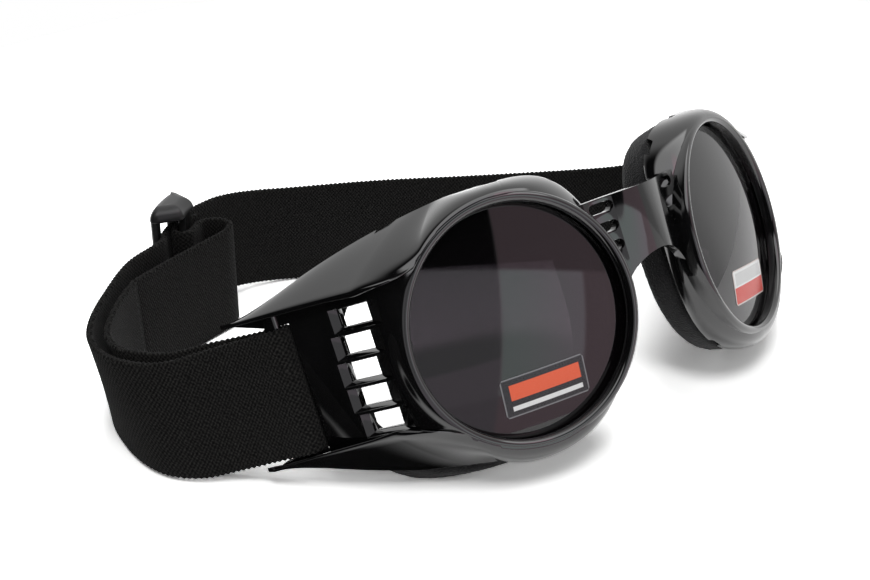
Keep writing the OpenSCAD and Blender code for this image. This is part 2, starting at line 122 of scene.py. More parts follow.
def hermite(a, b, da, db, t):
    """A smooth run from a to b that leaves and arrives in the directions da and db."""
    return ((2 * t ** 3 - 3 * t ** 2 + 1) * a + (t ** 3 - 2 * t ** 2 + t) * da
            + (3 * t ** 2 - 2 * t ** 3) * b + (t ** 3 - t ** 2) * db)


def face_y(x):
    """The line of the wearer's face, seen from above."""
    return 0.5 + 0.0063 * x * x


def rear_z(x, side):
    """Height of the eyecup's rear edge over x, at its top (1) or its foot (-1)."""
    d = x - OUT_X
    return OUT_TOP - 0.095 * d - 0.0046 * d ** 2 if side > 0 else -OUT_BOTTOM + 0.2 * d + 0.0034 * d ** 2


def on_face(x, z):
    return np.array([x, face_y(x), z])


def lens_pt(x, z, d):
    """A point across and up from the lens's middle, d behind the front of the lip."""
    return np.array([CUP_X, 0, 0]) + x * ACROSS + raised(z) + d * BACK


def lip_pt(phi, r, d):
    return lens_pt(r * cos(phi), r * sin(phi), d)


def arm_pt(out, s, z):
    """A point of the temple arm: outwards, along it and up."""
    return ARM_0 + raised(z) + out * ARM_OUT + s * ARM_ALONG


def dome(r, radius):
    """How deep a dome of this radius lies at the distance r from the lens's middle."""
    return DOME_C - sqrt(radius ** 2 - r ** 2)


def leaned(points, flip=False):
    """Points of the upright glasses, mirrored if flip, in the place where they lean on the table."""
    p = np.array(points, float)
    if flip:
        p[..., 0] *= -1
    c, s = cos(LEAN), sin(LEAN)
    return np.stack([p[..., 0] - ORIGIN[0],
                     p[..., 1] * c + p[..., 2] * s - ORIGIN[1],
                     EYE_H - p[..., 1] * s + p[..., 2] * c], -1)


def laid(points):
    """Points measured on the table, in the part's frame."""
    p = np.array(points, float)
    p[..., :2] -= ORIGIN
    return p


# Meshes

def pointed_outwards(obj, merge=True):
    bm = bmesh.new()
    bm.from_mesh(obj.data)
    if merge:
        bmesh.ops.remove_doubles(bm, verts=bm.verts, dist=1e-6)
    bmesh.ops.recalc_face_normals(bm, faces=bm.faces)
    bm.to_mesh(obj.data)
    bm.free()
    return obj


def smoothed(obj, sharp):
    """Smooth shading, with edges sharper than this many degrees kept crisp."""
    obj.data.shade_smooth()
    obj.data.set_sharp_from_angle(angle=radians(sharp))
    return obj


def placed(name, mesh):
    obj = bpy.data.objects.new(name, mesh)
    scene.collection.objects.link(obj)
    return obj


def bare_mesh(name, verts, faces):
    mesh = bpy.data.meshes.new(name)
    mesh.from_pydata((np.asarray(verts, float).reshape(-1, 3) * MM).tolist(), [], faces)
    mesh.validate()
    return mesh


def new_piece(name, verts, faces, sharp=38):
    return smoothed(pointed_outwards(placed(name, bare_mesh(name, verts, faces))), sharp)


def mapped_piece(name, verts, faces, uv_map, uvs, sharp):
    """A piece with its own UV map, from one pair of coordinates for each point."""
    mesh = bare_mesh(name, verts, faces)
    corners = np.zeros(len(mesh.loops), dtype=np.int32)
    mesh.loops.foreach_get("vertex_index", corners)
    layer = mesh.uv_layers.new(name=uv_map)
    layer.data.foreach_set("uv", np.array(uvs, float).reshape(-1, 2)[corners].ravel())
    return smoothed(pointed_outwards(placed(name, mesh), merge=False), sharp)


def loft(rows, closed_ring=False, closed_run=False):
    """Faces over rows of points, which are rings if closed_ring, and capped unless the run is closed too."""
    rows = np.asarray(rows, float)
    n, m = rows.shape[:2]
    faces = []
    for i in range(n if closed_run else n - 1):
        k = (i + 1) % n
        for j in range(m if closed_ring else m - 1):
            l = (j + 1) % m
            faces.append((i * m + j, i * m + l, k * m + l, k * m + j))
    if closed_ring and not closed_run:
        faces.append(tuple(range(m)))
        faces.append(tuple(range((n - 1) * m, n * m))[::-1])
    return rows.reshape(-1, 3), faces


def leaned_piece(name, rows, flip=False, sharp=38, closed_run=False):
    """A loft over rings of the upright left half, or of its mirror image, where the glasses lean."""
    return new_piece(name, *loft(leaned(rows, flip), True, closed_run), sharp=sharp)


def laid_piece(name, rows, sharp=38):
    """A loft over rings that were measured on the table."""
    return new_piece(name, *loft(laid(rows), True), sharp=sharp)


def apply_modifiers(obj):
    deps = bpy.context.evaluated_depsgraph_get()
    mesh = bpy.data.meshes.new_from_object(obj.evaluated_get(deps))
    obj.modifiers.clear()
    old = obj.data
    obj.data = mesh
    bpy.data.meshes.remove(old)
    return obj


def combined(obj, tools, operation):
    """Adds the tools to the piece, or cuts them out of it, and clears them away with their meshes."""
    for tool in tools:
        m = obj.modifiers.new("combine", "BOOLEAN")
        m.operation = operation
        m.solver = "EXACT"
        m.object = tool
    apply_modifiers(obj)
    for tool in tools:
        bpy.data.meshes.remove(tool.data)
    return obj


def rounded(obj, width, segments=3, angle=40, sharp=38):
    m = obj.modifiers.new("edge", "BEVEL")
    m.width = width * MM
    m.segments = segments
    m.limit_method = "ANGLE"
    m.angle_limit = radians(angle)
    return smoothed(apply_modifiers(obj), sharp)


def assign(obj, mat):
    obj.data.materials.clear()
    obj.data.materials.append(mat)
    return obj


# Material building

def feed(tree, n, sockets):
    """Gives each named socket its plain value, or the output that feeds it."""
    for key, value in sockets.items():
        if isinstance(value, bpy.types.NodeSocket):
            tree.links.new(value, n.inputs[key])
        else:
            n.inputs[key].default_value = value
    return n


def node(tree, kind, sockets=None, **settings):
    n = tree.nodes.new(kind)
    for key, value in settings.items():
        setattr(n, key, value)
    return feed(tree, n, sockets or {})


def new_material(name):
    mat = bpy.data.materials.new(name)
    mat.use_nodes = True
    return mat, mat.node_tree, mat.node_tree.nodes["Principled BSDF"]


def object_place(nt):
    return node(nt, "ShaderNodeTexCoord").outputs["Object"]


def split(nt, vector):
    return node(nt, "ShaderNodeSeparateXYZ", {"Vector": vector}).outputs


def colour_mix(nt, factor, a, b):
    """Blends two colours, each a plain colour or another node's output."""
    a, b = ((*v, 1) if isinstance(v, tuple) else v for v in (a, b))
    return node(nt, "ShaderNodeMix", {0: factor, 6: a, 7: b}, data_type="RGBA").outputs[2]


def level_mix(nt, factor, a, b):
    """Blends two levels, each a plain number or another node's output."""
    return node(nt, "ShaderNodeMix", {0: factor, 2: a, 3: b}, data_type="FLOAT").outputs[0]


def math_node(nt, operation, *values):
    return node(nt, "ShaderNodeMath", dict(enumerate(values)), operation=operation).outputs[0]


def times(nt, first, *factors):
    for factor in factors:
        first = math_node(nt, "MULTIPLY", first, factor)
    return first


def scaled(nt, value, factor, shift):
    return math_node(nt, "MULTIPLY_ADD", value, factor, shift)


def opposite(nt, mask):
    return math_node(nt, "SUBTRACT", 1.0, mask)


def ranged(nt, value, low, high, to_low=0.0, to_high=1.0, kind="LINEAR"):
    """The value's way from low to high, drawn over another range."""
    return node(nt, "ShaderNodeMapRange", {
        "Value": value, "From Min": low, "From Max": high, "To Min": to_low, "To Max": to_high},
        interpolation_type=kind).outputs["Result"]


def soft_step(nt, value, low, high):
    """0 at low and 1 at high, whichever of them is the larger."""
    if low < high:
        return ranged(nt, value, low, high, 0.0, 1.0, "SMOOTHSTEP")
    return ranged(nt, value, high, low, 1.0, 0.0, "SMOOTHSTEP")


def noise(nt, place, scale, detail=2.0, roughness=0.5):
    return node(nt, "ShaderNodeTexNoise", {"Vector": place, "Scale": scale, "Detail": detail,
                                           "Roughness": roughness}).outputs["Fac"]


def bump(nt, height, strength, distance):
    return node(nt, "ShaderNodeBump", {"Height": height, "Strength": strength,
                                       "Distance": distance}).outputs["Normal"]


def group_of(name, inputs, outputs):
    g = bpy.data.node_groups.new(name, "ShaderNodeTree")
    for label, value in inputs.items():
        socket = g.interface.new_socket(label, in_out="INPUT", socket_type="NodeSocketFloat")
        socket.default_value = value
    for label in outputs:
        g.interface.new_socket(label, in_out="OUTPUT", socket_type="NodeSocketFloat")
    return g, g.nodes.new("NodeGroupInput").outputs, g.nodes.new("NodeGroupOutput")


def surface_wear_group():
    """Fine unevenness of a moulded surface: a height, and a mask for smudges."""
    g, given, out = group_of("moulded_surface", {"Ripple Scale": 60.0, "Smudge Scale": 40.0},
                             ("Height", "Smudge"))
    place = object_place(g)
    ripple = noise(g, place, given["Ripple Scale"], 1.0)
    smudge = noise(g, place, given["Smudge Scale"], 4.0, 0.6)
    feed(g, out, {"Height": ripple, "Smudge": ranged(g, smudge, 0.42, 0.72)})
    return g


moulded_surface = surface_wear_group()


def moulded_plastic(name, colour, rough, rough_worn, ripple, coat=0.0):
    mat, nt, bsdf = new_material(name)
    wear = node(nt, "ShaderNodeGroup", node_tree=moulded_surface).outputs
    feed(nt, bsdf, {
        "Base Color": colour_mix(nt, wear["Smudge"], colour, tuple(c * 1.5 + 0.002 for c in colour)),
        "Roughness": ranged(nt, wear["Smudge"], 0.0, 1.0, rough, rough_worn),
        "Normal": bump(nt, wear["Height"], ripple, 0.0004),
        "IOR": 1.5, "Coat Weight": coat, "Coat Roughness": 0.05})
    return mat


gloss_black = moulded_plastic("gloss_black", (0.002, 0.002, 0.0022), 0.07, 0.14, 0.05, coat=0.9)
slider_black = moulded_plastic("satin_black", (0.012, 0.012, 0.0125), 0.3, 0.42, 0.1)


def smoke_lens():
    """Smoke tint, with a painted reflection: the lens is painted lighter and more purple towards its foot.
    """
    mat, nt, bsdf = new_material("smoke_lens")
    height = ranged(nt, split(nt, object_place(nt))["Z"], 0.012, 0.060)
    smudge = node(nt, "ShaderNodeGroup", node_tree=moulded_surface).outputs["Smudge"]
    feed(nt, bsdf, {
        # Painted reflection: lighter and more purple towards the lens's foot, darker smoke at its top
        "Base Color": colour_mix(nt, height, (0.03, 0.021, 0.028), (0.008, 0.008, 0.009)),
        "Roughness": ranged(nt, smudge, 0.0, 1.0, 0.015, 0.05),
        "Transmission Weight": 0.9, "IOR": 1.586})
    return mat


lens_material = smoke_lens()


def foam_material():
    mat, nt, bsdf = new_material("open_cell_foam")
    place = object_place(nt)
    cells = node(nt, "ShaderNodeTexVoronoi", {"Vector": place, "Scale": 2400.0}).outputs["Distance"]
    blotch = noise(nt, place, 180.0, 3.0)
    feed(nt, bsdf, {
        "Base Color": colour_mix(nt, blotch, (0.006, 0.006, 0.0065), (0.028, 0.028, 0.029)),
        "Normal": bump(nt, cells, 0.8, 0.0003), "Roughness": 0.95, "Specular IOR Level": 0.2,
        "Sheen Weight": 0.15, "Sheen Roughness": 0.5})
    return mat


foam_black = foam_material()


def knit_group():
    """How far the knit stands out, from a UV map in millimetres along and across the elastic."""
    g, given, out = group_of("knitted_elastic", {"Course": 1.0, "Wale": 1.15, "Fuzz": 0.75}, ("Relief",))
    uv = node(g, "ShaderNodeUVMap", uv_map="strap_mm").outputs["UV"]
    way = split(g, uv)
    wobble = noise(g, uv, 0.9, 3.0)

    def ripple(distance, pitch):
        turns = math_node(g, "ADD", math_node(g, "DIVIDE", distance, pitch), wobble)
        return math_node(g, "SINE", times(g, turns, 2 * pi))

    loops = times(g, ripple(way["X"], given["Course"]), ripple(way["Y"], given["Wale"]))
    fuzz = noise(g, uv, 2.3, 4.0, 0.65)
    feed(g, out, {"Relief": scaled(g, fuzz, given["Fuzz"], scaled(g, loops, 0.22, 0.12))})
    return g


def elastic_material(dark, light, course):
    mat, nt, bsdf = new_material("knitted_elastic")
    relief = node(nt, "ShaderNodeGroup", {"Course": course}, node_tree=knit_group()).outputs["Relief"]
    feed(nt, bsdf, {
        # Partly random tone from the fuzz, partly painted shade: the knit's hollows are painted darker and
        # its raised loops lighter
        "Base Color": colour_mix(nt, ranged(nt, relief, 0.38, 0.82), dark, light),
        "Normal": bump(nt, relief, 0.9, 0.0004), "Roughness": 0.9, "Specular IOR Level": 0.15,
        "Sheen Weight": 0.05, "Sheen Roughness": 0.4})
    return mat


elastic = elastic_material((0.002, 0.002, 0.002), (0.03, 0.0292, 0.0278), 0.95)


# The shell behind the lips: an eyecup that spreads to the wearer's face and to two fins on the temple

ROWS_OUT = 14
ROWS_IN = 8
CUP_STATIONS = 240
SIDE_STATIONS = (22, 30, 70)
NOTCHES = [62, 96, 133, 232, 262]
NOTCH_HALF = 2.1
NOTCH_DEEP = 2.0
NOTCH_X = 52
CREST_R = LENS_R + 1.4
CREST_D = 0.04
LEAVE = 6.5
SHOULDER = radians(50)
SHOULDER_S = 8.0
SHOULDER_X = (43.0, 49.0)
SHOULDER_LEAVE = 14
TIP_X = arm_pt(FIN_OUT, ARM_LEN, 0)[0]
SWELL = 0.7
NOSE_SWELL = 1.1
FOOT_SWELL = 1.6


def radial(phi):
    return cos(phi) * ACROSS + raised(sin(phi))


def noseward(phi):
    """0 at the temple, 1 at the nose."""
    return (1 - cos(phi)) / 2


def shell_depth(phi):
    return 0.5 + 4.1 * noseward(phi) ** 4


def nose_share(phi):
    """0 where the shell flows out of the lip's crest, 1 at the nose, where the lip stands proud of it."""
    return float(smoothstep(0.55, 0.92, noseward(phi)))


def shell_front(phi):
    proud = lip_pt(phi, LIP_R - 0.22 + 0.12 * noseward(phi) ** 4, shell_depth(phi))
    return mix(lip_pt(phi, CREST_R, CREST_D), proud, nose_share(phi))


def shell_front_in(phi):
    return lip_pt(phi, LIP_R - 1.2, shell_depth(phi) + 0.8)


def wall_section(fo, ro, ri, fi, out, turn, notch, swell):
    """One station: outer side from front to rear, a rounded rear edge, and the inner side back.
    The outer side leaves its front edge in the direction of turn."""
    def swollen(t):
        return out * swell * 4 * t * (1 - t)

    top = 1 - min(notch / max(np.linalg.norm(ro - fo), 1e-6), 0.6)
    pts = [hermite(fo, ro, turn, ro - fo, top * k / ROWS_OUT) + swollen(top * k / ROWS_OUT)
           for k in range(ROWS_OUT + 1)]
    edge_o, edge_i = pts[-1], mix(fi, ri, top) + swollen(top)
    mid = (edge_o + edge_i) / 2
    rear = unit(ro - fo) * np.linalg.norm(edge_o - edge_i) * 0.22
    pts += [mix(edge, mid, 0.45) + rear * 0.8 for edge in (edge_o, edge_i)]
    pts += [mix(fi, ri, top * k / ROWS_IN) + swollen(top * k / ROWS_IN) for k in range(ROWS_IN, -1, -1)]
    nose = unit(fo - ro) * np.linalg.norm(fo - fi) * 0.3
    pts += [mix(fi, fo, w) + nose * sin(pi * w) for w in (0.12, 0.32, 0.5, 0.68, 0.88)]
    return pts


def round_rear(phi):
    c, s = cos(phi), sin(phi)
    p = 4.0 if s > 0 else 2.5
    h = OUT_TOP if s > 0 else OUT_BOTTOM
    return on_face(OUT_X + (OUT_X - OUT_NASAL) * spow(c, 2 / p), h * spow(s, 2 / p))


def notch_at(point):
    """How far the rear edge is cut back here by a vent notch."""
    deep = 0.0
    for deg in NOTCHES:
        c = on_face(NOTCH_X, rear_z(NOTCH_X, 1)) if deg < 90 else round_rear(radians(deg))
        away = smoothstep(NOTCH_HALF - 0.35, NOTCH_HALF + 0.35, np.linalg.norm(point - c))
        deep = max(deep, NOTCH_DEEP * float(1 - away))
    return deep


def round_station(phi):
    fo, fi, ro = shell_front(phi), shell_front_in(phi), round_rear(phi)
    k = 1 - WALL / hypot(ro[0] - OUT_X, ro[2])
    ri = on_face(OUT_X + (ro[0] - OUT_X) * k, ro[2] * k)
    out = unit(np.array([cos(phi) * 0.9, 0, sin(phi)]))
    w = nose_share(phi)
    footward = float(smoothstep(radians(205), radians(270), phi))
    swell = mix(mix(SWELL, NOSE_SWELL, w), FOOT_SWELL, footward)
    return wall_section(fo, ro, ri, fi, out, mix(radial(phi) * LEAVE, ro - fo, w), notch_at(ro), swell)


def fin_z(s, side):
    return FIN_TOP if side > 0 else -FIN_BOTTOM - FIN_FALL * s


def rear_line(x, side):
    """The rear edge over x, and how far along the fin it is."""
    t = max(0.0, (x - OUT_X - 1) / (TIP_X - OUT_X - 1))
    z = mix(rear_z(x, side), fin_z(ARM_LEN, side), t ** 6)
    return on_face(x, z), t


def flat_station(fo, fi, x, side, turn, plate):
    """A station of the flat side, whose inner front corner lies on the lip or under the fin."""
    base, t = rear_line(x, side)
    ro = base + np.array([0, 0.9 * t ** 4, 0])
    drop = raised(-side * mix(WALL, FIN_T, min(1, 3 * t)))
    swell = mix(SWELL, NOSE_SWELL, plate) if side > 0 else FOOT_SWELL
    return wall_section(fo, ro, ro + drop, mix(fi, fo + drop, plate), raised(side * (1 - t)),
                        mix(turn, ro - fo, plate), notch_at(base), swell)


def shoulder_line(t, side):
    """Front edge from the lip's crest to the straight fin."""
    start = lip_pt(side * SHOULDER, CREST_R, CREST_D)
    end = arm_pt(FIN_OUT, SHOULDER_S, fin_z(SHOULDER_S, side))
    leave = sin(SHOULDER) * ACROSS - raised(side * cos(SHOULDER))
    return hermite(start, end, leave * SHOULDER_LEAVE, ARM_ALONG * SHOULDER_LEAVE, t)


def side_stations(side):
    """Stations from the top or foot of the lip to the fin's tip."""
    x_a, x_b = SHOULDER_X
    to_shoulder, over_shoulder, along_fin = (np.linspace(0, 1, n)[1:] for n in SIDE_STATIONS)
    rows = []
    for t in to_shoulder:
        phi = side * mix(pi / 2, SHOULDER, t)
        rows.append(flat_station(shell_front(phi), shell_front_in(phi), mix(OUT_X, x_a, t), side,
                                 radial(phi) * LEAVE, 0))
    phi = side * SHOULDER
    for t in over_shoulder:
        rows.append(flat_station(shoulder_line(t, side), shell_front_in(phi), mix(x_a, x_b, t), side,
                                 radial(phi) * LEAVE, float(smoothstep(0, 1, t))))
    for t in along_fin:
        s = mix(SHOULDER_S, ARM_LEN, t)
        fo = arm_pt(FIN_OUT, s, fin_z(s, side))
        rows.append(flat_station(fo, fo, mix(x_b, TIP_X, t), side, fo, 1))
    return rows


def shell(name, flip):
    cup = [round_station(p) for p in np.linspace(pi / 2, 1.5 * pi, CUP_STATIONS)]
    return leaned_piece(name, side_stations(1)[::-1] + cup + side_stations(-1), flip, sharp=44)


def lip_profile():
    """Radius and depth round the lip, with the groove that holds the lens."""
    r0, r1, d, rho = LENS_R, LIP_R, LIP_DEPTH, 1.2
    quarter = np.linspace(0, pi / 2, 7)
    front = [(r0 + rho * (1 - cos(a)), rho * (1 - sin(a))) for a in quarter]
    front += [(r1 - rho * (1 - sin(a)), rho * (1 - cos(a))) for a in quarter]
    side = [(r1, d - 1.0), (r1 - 0.25, d - 0.3), (r1 - 0.8, d)]
    back = [(r0 - 0.2, d), (r0 - 0.5, d - 0.2), (r0 - 0.6, d - 0.5), (r0 - 0.6, GROOVE + LENS_T + 0.9)]
    groove = [(r0 + 1.0, GROOVE + LENS_T + 0.9), (r0 + 1.0, GROOVE), (r0 + 0.1, GROOVE), (r0, GROOVE - 0.15)]
    return front + side + back + groove


def lip(name, flip, steps=192):
    rows = [[lip_pt(2 * pi * i / steps, r, d) for r, d in lip_profile()] for i in range(steps)]
    return leaned_piece(name, rows, flip, sharp=44, closed_run=True)


WEB_PHI = radians(46)
WEB_STEPS = 18
WINDOW_PITCH = 5.85
WINDOW_Z = [0.5 + (i - 2) * WINDOW_PITCH for i in range(5)]
WINDOW_HALF = 2.62
WINDOW_L = 12
PANEL_START = 3
RIM_T = 4
RIM_L = 15.6


def window_s(z):
    """Where along the arm the windows start, in a slight bow."""
    return 5.5 - 0.0115 * z * z


def temple_web(name, flip):
    """The valley that runs smoothly from the lip's crest into the recessed panel."""
    rows = []
    for t in np.linspace(0, 1, 80):
        phi = mix(WEB_PHI, -WEB_PHI, t)
        z = mix(FIN_TOP - 0.8, -FIN_BOTTOM - 0.45, t)
        s_end = max(PANEL_START + 0.1, window_s(z) - 0.45)
        side = 1 if phi > 0 else -1
        along = sin(abs(phi)) * ACROSS - raised(side * cos(phi))
        leave = mix(radial(phi) * LEAVE, along * 8, abs(phi / WEB_PHI) ** 4)
        a, b = lip_pt(phi, CREST_R, 0.05), arm_pt(PANEL_OUT + 0.03, s_end, z)
        rows.append([hermite(a, b, leave, ARM_ALONG * 6, k / WEB_STEPS) for k in range(WEB_STEPS + 1)]
                    + [arm_pt(PANEL_OUT - WALL, s_end, z), lip_pt(phi, LIP_R - 1.2, 2.6)])
    return leaned_piece(name, rows, flip, sharp=40)


def arm_box(name, low, size, flip):
    """A box in the arm's own directions: outwards, along it and up."""
    high = [a + b for a, b in zip(low, size)]
    pts = [arm_pt(x, y, z) for z in (low[2], high[2]) for y in (low[1], high[1]) for x in (low[0], high[0])]
    faces = [(0, 2, 3, 1), (4, 5, 7, 6), (0, 1, 5, 4), (2, 6, 7, 3), (0, 4, 6, 2), (1, 3, 7, 5)]
    return new_piece(name, leaned(pts, flip), faces)


def lens_bore(radius, front, back, flip):
    """A round cutter on the lens's axis."""
    turns = np.linspace(0, 2 * pi, 96, endpoint=False)
    return leaned_piece("cutter", [[lip_pt(a, radius, d) for a in turns] for d in (front, back)], flip)


def side_panel(name, flip):
    """The recessed panel of the arm, with five hopper-shaped windows."""
    z0 = -FIN_BOTTOM - 1.9
    h = FIN_TOP + 0.3 - z0
    plate = arm_box(name, (PANEL_OUT - WALL, PANEL_START, z0), (WALL, SLOT_START - PANEL_START, h), flip)
    rim = arm_box("rim", (PANEL_OUT - RIM_T, PANEL_START + 0.02, z0 + 1.42),
                  (RIM_T - 0.02, RIM_L, h - 1.84), flip)
    combined(plate, [rim], "UNION")
    tools = []
    for z in WINDOW_Z:
        s = window_s(z)
        outer = rectangle(s, s + WINDOW_L, z - WINDOW_HALF, z + WINDOW_HALF)
        inner = rectangle(s + 3, s + WINDOW_L - 1.6, z - 2.0, z + 2.2)
        depths = ((1.5, outer), (-0.5, outer), (-1.6, inner), (-6, inner))
        rows = [[arm_pt(PANEL_OUT + d, a, b) for a, b in ring] for d, ring in depths]
        tools.append(leaned_piece("cutter", rows, flip))
    combined(plate, tools + [lens_bore(LENS_R + 0.6, -2, 22, flip)], "DIFFERENCE")
    return rounded(plate, 0.28, 2, 35, 50)


def fin_rib(name, flip, side):
    """The rib along a fin, which closes the frame over or under the strap's slot."""
    near_strap = STRAP_MID_Z + side * (STRAP_W / 2 + (0.45 if side > 0 else 0.2))
    inside = PANEL_OUT - WALL + 0.05
    rows = []
    for s, share in ((SLOT_START - 1, 0.0), (BAR_S + 1.5, 0.0), (34.0, 0.35), (37.6, 0.75)):
        fin = fin_z(s, side) - side * 0.5
        edge = mix(near_strap, fin, share)
        outer = mix(PANEL_OUT - 0.05, FIN_OUT - 0.5, share)
        corners = ((inside, fin), (inside, edge), (outer, edge), (outer, fin))
        rows.append([arm_pt(out, s, z) for out, z in corners])
    return rounded(leaned_piece(name, rows, flip), 0.25, 2)


def strap_bar(name, flip):
    """The bar that the strap turns round, with a half-round front."""
    z0, half = -FIN_BOTTOM - 2.4, BAR_T / 2
    ring = [(BAR_MID + half * cos(a), BAR_S + half * sin(a))
            for a in np.linspace(pi, 2 * pi, 17)]
    ring += [(BAR_MID + a, BAR_S + s) for a, s in ((half, 1.5), (1.1, 1.9), (-1.1, 1.9), (-half, 1.5))]
    rows = [[arm_pt(a, s, z) for a, s in ring] for z in (z0, FIN_TOP - 0.4)]
    return leaned_piece(name, rows, flip, sharp=40)


BRIDGE_HALF = 15.4
BRIDGE_TOP = 19
BRIDGE_FOOT = -8
BRIDGE_T = 2.4
ARCH_R = 12
BRIDGE_SLOTS = 3
SLOT_PITCH = 4.5
SLOT_R = 1.2
SLOT_ENDS = (9.4, 13)


def bridge_y(x):
    return -4.2 - 4.4 * (0.5 + 0.5 * cos(pi * x / BRIDGE_HALF))


def bridge(name):
    """The plate between the cups, with the nose arch and the slots beside it cut through."""
    def through(outline):
        return leaned_piece("cutter", [[(x, y, z) for x, z in outline] for y in (-25, 15)])

    rows = []
    for x in np.linspace(-BRIDGE_HALF, BRIDGE_HALF, 56):
        y, y_in = bridge_y(x), bridge_y(x) + BRIDGE_T
        rows.append([(x, y, BRIDGE_FOOT), (x, y, BRIDGE_TOP), (x, y_in, BRIDGE_TOP), (x, y_in, BRIDGE_FOOT)])
    plate = leaned_piece(name, rows)
    arch = [(ARCH_R * cos(a), BRIDGE_FOOT + ARCH_R * sin(a)) for a in np.linspace(0, pi, 49)]
    tools = [through(arch + [(-ARCH_R, -30), (ARCH_R, -30)])]
    turns = np.linspace(0, pi, 13)
    for side in (-1, 1):
        for i in range(BRIDGE_SLOTS):
            z = BRIDGE_TOP - 2.1 - i * SLOT_PITCH
            ring = [(SLOT_ENDS[0] - SLOT_R * sin(a), z + SLOT_R * cos(a)) for a in turns]
            ring += [(SLOT_ENDS[1] + SLOT_R * sin(a), z - SLOT_R * cos(a)) for a in turns]
            tools.append(through([(side * x, z_out) for x, z_out in ring]))
        tools.append(lens_bore(LIP_R - 0.6, -20, 40, side < 0))
    combined(plate, tools, "DIFFERENCE")
    return rounded(plate, 0.35, 3, 35, 50)


for side, flip in SIDES:
    for obj in (shell("frame_shell_" + side, flip), lip("frame_lip_" + side, flip),
                temple_web("frame_web_" + side, flip), side_panel("frame_panel_" + side, flip),
                fin_rib("frame_top_rib_" + side, flip, 1), fin_rib("frame_foot_rib_" + side, flip, -1),
                strap_bar("frame_bar_" + side, flip)):
        assign(obj, gloss_black)
        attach(obj, "goggles")
        if obj.name.startswith("frame_shell_left"):
            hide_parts("frame")
bridge_piece = assign(bridge("frame_bridge"), gloss_black)
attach(bridge_piece, "goggles")


# Lenses

def lens(name, flip, steps=160, rings=24):
    radii = np.linspace(0.0, LENS_EDGE - 0.15, rings)[1:]
    back_r = DOME_R - LENS_T
    run = [(r, dome(r, DOME_R)) for r in radii]
    run += [(LENS_EDGE, dome(LENS_EDGE, DOME_R) + 0.2), (LENS_EDGE, dome(LENS_EDGE, back_r) - 0.2)]
    run += [(r, dome(r, back_r)) for r in radii[::-1]]
    m = len(run)
    verts, faces = loft([[lip_pt(2 * pi * i / steps, r, d) for r, d in run] for i in range(steps)],
                        closed_run=True)
    poles = [lip_pt(0, 0, dome(0, DOME_R)), lip_pt(0, 0, dome(0, back_r))]
    for i in range(steps):
        k = (i + 1) % steps
        faces += [(steps * m, i * m, k * m), (steps * m + 1, k * m + m - 1, i * m + m - 1)]
    verts = np.concatenate([verts, poles])
    return new_piece(name, leaned(verts, flip), faces, sharp=40)


for side, flip in SIDES:
    obj = assign(lens("dark_lens_" + side, flip), lens_material)
    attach(obj, "goggles")
    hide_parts("lens_" + side)


# Film stickers on the lenses: plain bands

STICKER_W = 20.6
STICKER_H = 8.6
STICKER_T = 0.12
STICKER_CORNER = 0.7
STICKER_COLS = 41
STICKER_ROWS = 15
SOFT_X = 0.004
SOFT_Y = 0.006


def film_material(name, field, upper, lower, rim, upper_band, lower_band):
    """A printed film: two plain bands on a field, with a rim, all by the label's own UV map."""
    mat, nt, bsdf = new_material(name)
    uv = node(nt, "ShaderNodeUVMap", uv_map="label").outputs["UV"]
    way = split(nt, uv)
    ink = noise(nt, uv, 60.0, 3.0)

    def band(low, high, left, right):
        return times(nt, *(soft_step(nt, way[axis], edge - soft, edge + soft) for axis, edge, soft in (
            ("Y", low, SOFT_Y), ("Y", high, -SOFT_Y), ("X", left, SOFT_X), ("X", right, -SOFT_X))))

    tone = colour_mix(nt, ink, field, tuple(c * 1.3 + 0.004 for c in field))
    worn = colour_mix(nt, ink, upper, tuple(c * 0.85 for c in upper))
    tone = colour_mix(nt, band(*upper_band), tone, worn)
    tone = colour_mix(nt, band(*lower_band), tone, lower)
    tone = colour_mix(nt, opposite(nt, band(0.035, 0.965, 0.014, 0.986)), tone, rim)
    feed(nt, bsdf, {"Base Color": tone, "Roughness": ranged(nt, ink, 0.0, 1.0, 0.22, 0.34)})
    return mat


def sticker(name, flip, middle, tilt):
    """A thin film that follows the dome of the lens, at a place on the lens's own face."""
    c, s = cos(tilt), sin(tilt)

    def on_dome(u, v, lift):
        x, z = middle[0] + u * c - v * s, middle[1] + u * s + v * c
        return lens_pt(x, z, dome(hypot(x, z), DOME_R + lift))

    rows, uvs = [], []
    for u in np.linspace(-STICKER_W / 2, STICKER_W / 2, STICKER_COLS):
        into = max(0.0, abs(u) - (STICKER_W / 2 - STICKER_CORNER))
        half = STICKER_H / 2 - STICKER_CORNER + sqrt(max(STICKER_CORNER ** 2 - into ** 2, 0.0004))
        vs = list(np.linspace(-half, half, STICKER_ROWS))
        rows.append([on_dome(u, v, STICKER_T) for v in vs] + [on_dome(u, v, 0.02) for v in vs[::-1]])
        across = 0.5 + u / STICKER_W * (-1 if flip else 1)
        uvs += [(across, 0.5 + v / STICKER_H) for v in vs + vs[::-1]]
    verts, faces = loft(leaned(rows, flip), closed_ring=True)
    return mapped_piece(name, verts, faces, "label", uvs, 40)


dark_film = film_material("dark_label_film", (0.012, 0.013, 0.015), (0.83, 0.13, 0.055), (0.78, 0.78, 0.78),
                          (0.2, 0.2, 0.21), (0.42, 0.82, 0.09, 0.93), (0.15, 0.27, 0.09, 0.93))
white_film = film_material("white_label_film", (0.8, 0.8, 0.8), (0.76, 0.76, 0.76), (0.72, 0.06, 0.04),
                           (0.72, 0.62, 0.6), (0.55, 0.9, 0.06, 0.94), (0.04, 0.5, 0.015, 0.985))
for name, flip, middle, tilt, film in (("label_right", True, (-0.9, -15.4), radians(2.0), dark_film),
                                       ("label_left", False, (1.0, -15.2), radians(-4.0), white_film)):
    obj = assign(sticker(name, flip, middle, tilt), film)
    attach(obj, "goggles")


# Foam rings

FOAM_T = 8.0
FOAM_W = 6.5
FOAM_TEMPLE_W = 4.2
FOAM_TEMPLE = 29.5
FOAM_UNEVEN = 0.03


